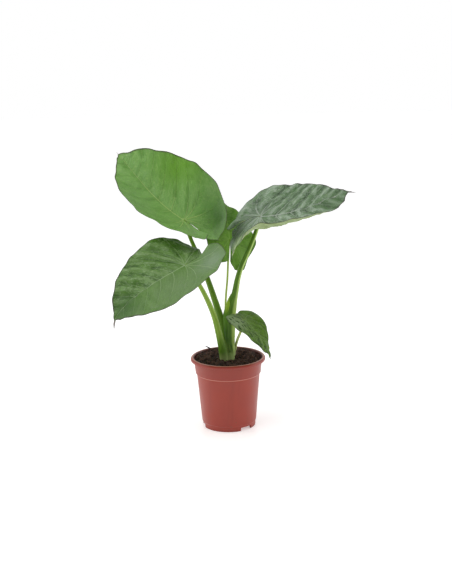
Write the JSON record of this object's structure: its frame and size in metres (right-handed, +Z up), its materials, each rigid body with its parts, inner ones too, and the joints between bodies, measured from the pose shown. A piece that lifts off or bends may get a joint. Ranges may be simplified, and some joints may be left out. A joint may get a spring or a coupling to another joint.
{
  "type": "potted alocasia",
  "caption": "Potted alocasia with large heart-shaped, veined leaves on tall arching stalks, standing in dark potting mix in a round tapered nursery pot with a rolled lip and notched foot.",
  "frame": {"origin": "centre of the pot's base, on the surface the pot stands on", "axes": "+Z up along the pot's axis, -Y the front that faces the viewer, +X the viewer's right"},
  "size_m": [0.5306, 0.4559, 0.624],
  "materials": {
    "pot_plastic": "satin terracotta-coloured plastic",
    "potting_mix": "damp, fibrous and matt",
    "leaf_bright": "semi-gloss young leaf with light veins",
    "leaf_grey_green": "semi-gloss corrugated leaf with light veins",
    "leaf_dark": "semi-gloss leaf with light veins",
    "stalk_green": "smooth satin stalk with fine stripes",
    "stalk_light": "smooth satin yellow-green stalk"
  },
  "bodies": {
    "root": {"pot": "pot_plastic", "soil": "potting_mix", "lower_left_leaf_blade": "leaf_grey_green", "lower_left_leaf_petiole": "stalk_light", "upper_left_leaf_blade": "leaf_bright", "upper_left_leaf_petiole": "stalk_green", "right_leaf_blade": "leaf_grey_green", "right_leaf_petiole": "stalk_green", "rear_leaf_blade": "leaf_dark", "rear_leaf_petiole": "stalk_light", "small_front_leaf_blade": "leaf_dark", "small_front_leaf_petiole": "stalk_light"}
  },
  "joints": []
}
